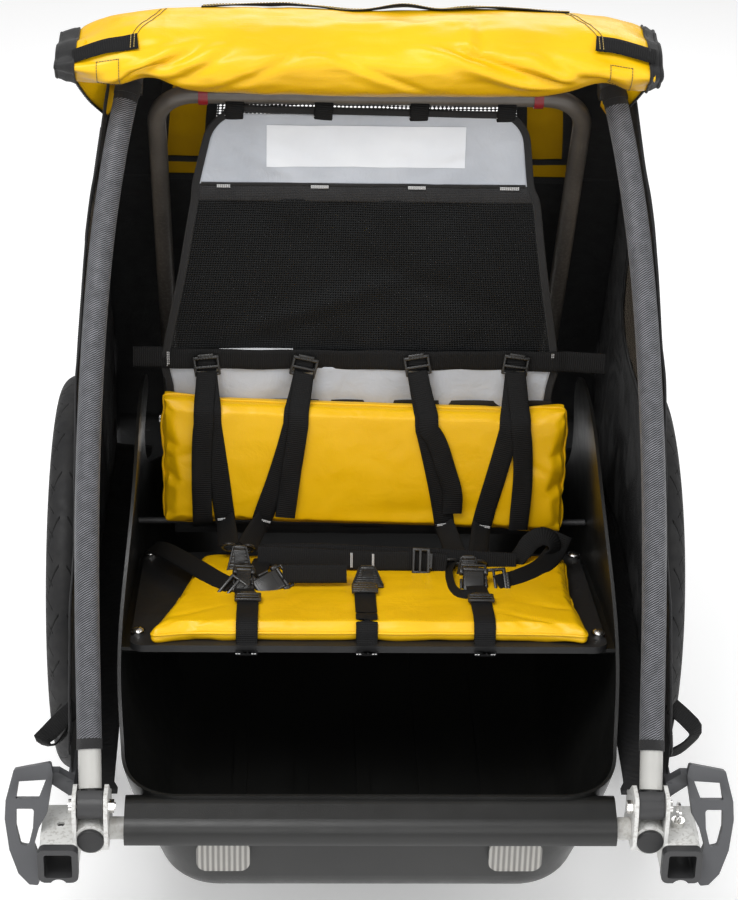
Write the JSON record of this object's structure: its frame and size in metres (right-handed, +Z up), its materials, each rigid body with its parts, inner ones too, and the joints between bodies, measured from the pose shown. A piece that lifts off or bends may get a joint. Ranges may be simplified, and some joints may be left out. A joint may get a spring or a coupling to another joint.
{
  "type": "child bicycle trailer",
  "caption": "Child bicycle trailer: moulded tub on a tubular base, folding front uprights and rear hoop, padded bench with harness, fabric cabin with rolled cover, spoked side wheels.",
  "frame": {"origin": "centre of the overall box in X and Y, on the ground under the tyres", "axes": "+Z up, -Y the direction of travel, +X the trailer's left side; the wheel axle runs along X at Y 0.087, Z 0.250"},
  "size_m": [0.806, 0.8882, 0.983],
  "materials": {
    "tub_plastic": "satin",
    "light_tube": "satin",
    "hoop_tube": "satin",
    "corner_casting": "satin",
    "black_plastic": "satin",
    "hardware": "polished",
    "sleeve_weave": "woven",
    "red_clip": "gloss",
    "alloy": "satin",
    "steel": "satin",
    "tyre_rubber": "matte",
    "board": "matte",
    "yellow_vinyl": "coated",
    "seat_fabric": "coated",
    "black_fabric": "woven",
    "webbing": "woven",
    "window_film": "tinted",
    "clear_lens": "clear",
    "red_lens": "gloss"
  },
  "bodies": {
    "base": {"tub": "tub_plastic", "side_rails": "light_tube", "front_cross_tube": "light_tube", "rear_cross_tube": "light_tube", "front_corner_left": "corner_casting", "front_corner_right": "corner_casting", "rail_end_caps": "black_plastic", "tow_socket_liners": "black_plastic", "hinge_stop_blocks": "black_plastic", "wheel_guard_left": "black_plastic", "wheel_guard_right": "black_plastic", "harness_buckles": "black_plastic", "rear_hinge_brackets": "black_plastic", "hinge_bolts": "hardware", "hinge_nuts": "hardware", "seat_screws": "hardware", "wheel_axles": "hardware", "axle_receivers": "alloy", "backrest_rod": "alloy", "seat_board": "board", "backrest_board": "board", "seat_cushion": "yellow_vinyl", "back_cushion": "yellow_vinyl", "seat_back": "seat_fabric", "side_panel_left": "black_fabric", "side_panel_right": "black_fabric", "rear_panel": "black_fabric", "harness_band": "webbing", "shoulder_straps": "webbing", "crotch_straps": "webbing", "lap_belts": "webbing", "strap_loops": "webbing", "side_window_left": "window_film", "side_window_right": "window_film", "front_reflectors": "clear_lens", "rear_reflectors": "red_lens"},
    "uprights": {"upright_tubes": "light_tube", "upright_sleeves": "sleeve_weave", "hinge_knuckles": "black_plastic", "top_connectors": "black_plastic", "roof_cross_tube": "light_tube", "front_cover_roll": "yellow_vinyl", "roof_panel": "yellow_vinyl"},
    "rear_hoop": {"rear_hoop": "hoop_tube", "hoop_knuckles": "black_plastic", "seat_back_clips": "red_clip"},
    "wheel_left": {"tyre_left": "tyre_rubber", "rim_left": "alloy", "spokes_left": "steel", "hub_left": "alloy", "hub_bearings_left": "steel"},
    "wheel_right": {"tyre_right": "tyre_rubber", "rim_right": "alloy", "spokes_right": "steel", "hub_right": "alloy", "hub_bearings_right": "steel"},
    "release_left": {"wheel_release_button_left": "black_plastic"},
    "release_right": {"wheel_release_button_right": "black_plastic"},
    "hitch_pin": {"hitch_pin": "hardware"}
  },
  "joints": [
    {"name": "uprights_fold", "type": "hinge", "parent": "base", "child": "uprights", "pos_m": [0, -0.40995, 0.25], "axis": [-1, 0, 0], "range_deg": [0, 43.5], "deforming": ["side_panel_left", "side_panel_right", "side_window_left", "side_window_right", "rear_panel", "seat_back", "harness_band", "shoulder_straps", "back_cushion"]},
    {"name": "hoop_fold", "type": "hinge", "parent": "base", "child": "rear_hoop", "pos_m": [0, 0.41705, 0.3], "axis": [1, 0, 0], "range_deg": [0, 47.3]},
    {"name": "wheel_left_spin", "type": "hinge", "parent": "base", "child": "wheel_left", "pos_m": [0.358, 0.08705, 0.25], "axis": [1, 0, 0], "continuous": true},
    {"name": "wheel_right_spin", "type": "hinge", "parent": "base", "child": "wheel_right", "pos_m": [-0.358, 0.08705, 0.25], "axis": [1, 0, 0], "continuous": true},
    {"name": "release_left_press", "type": "slide", "parent": "base", "child": "release_left", "axis": [-1, 0, 0], "range_m": [0, 0.003]},
    {"name": "release_right_press", "type": "slide", "parent": "base", "child": "release_right", "axis": [1, 0, 0], "range_m": [0, 0.003]},
    {"name": "hitch_pin_lift", "type": "slide", "parent": "base", "child": "hitch_pin", "axis": [0, 0, 1], "range_m": [0, 0.06]}
  ],
  "couplings": [
    {"joint": "hoop_fold", "follows": "uprights_fold", "ratio": 1.0869}
  ]
}
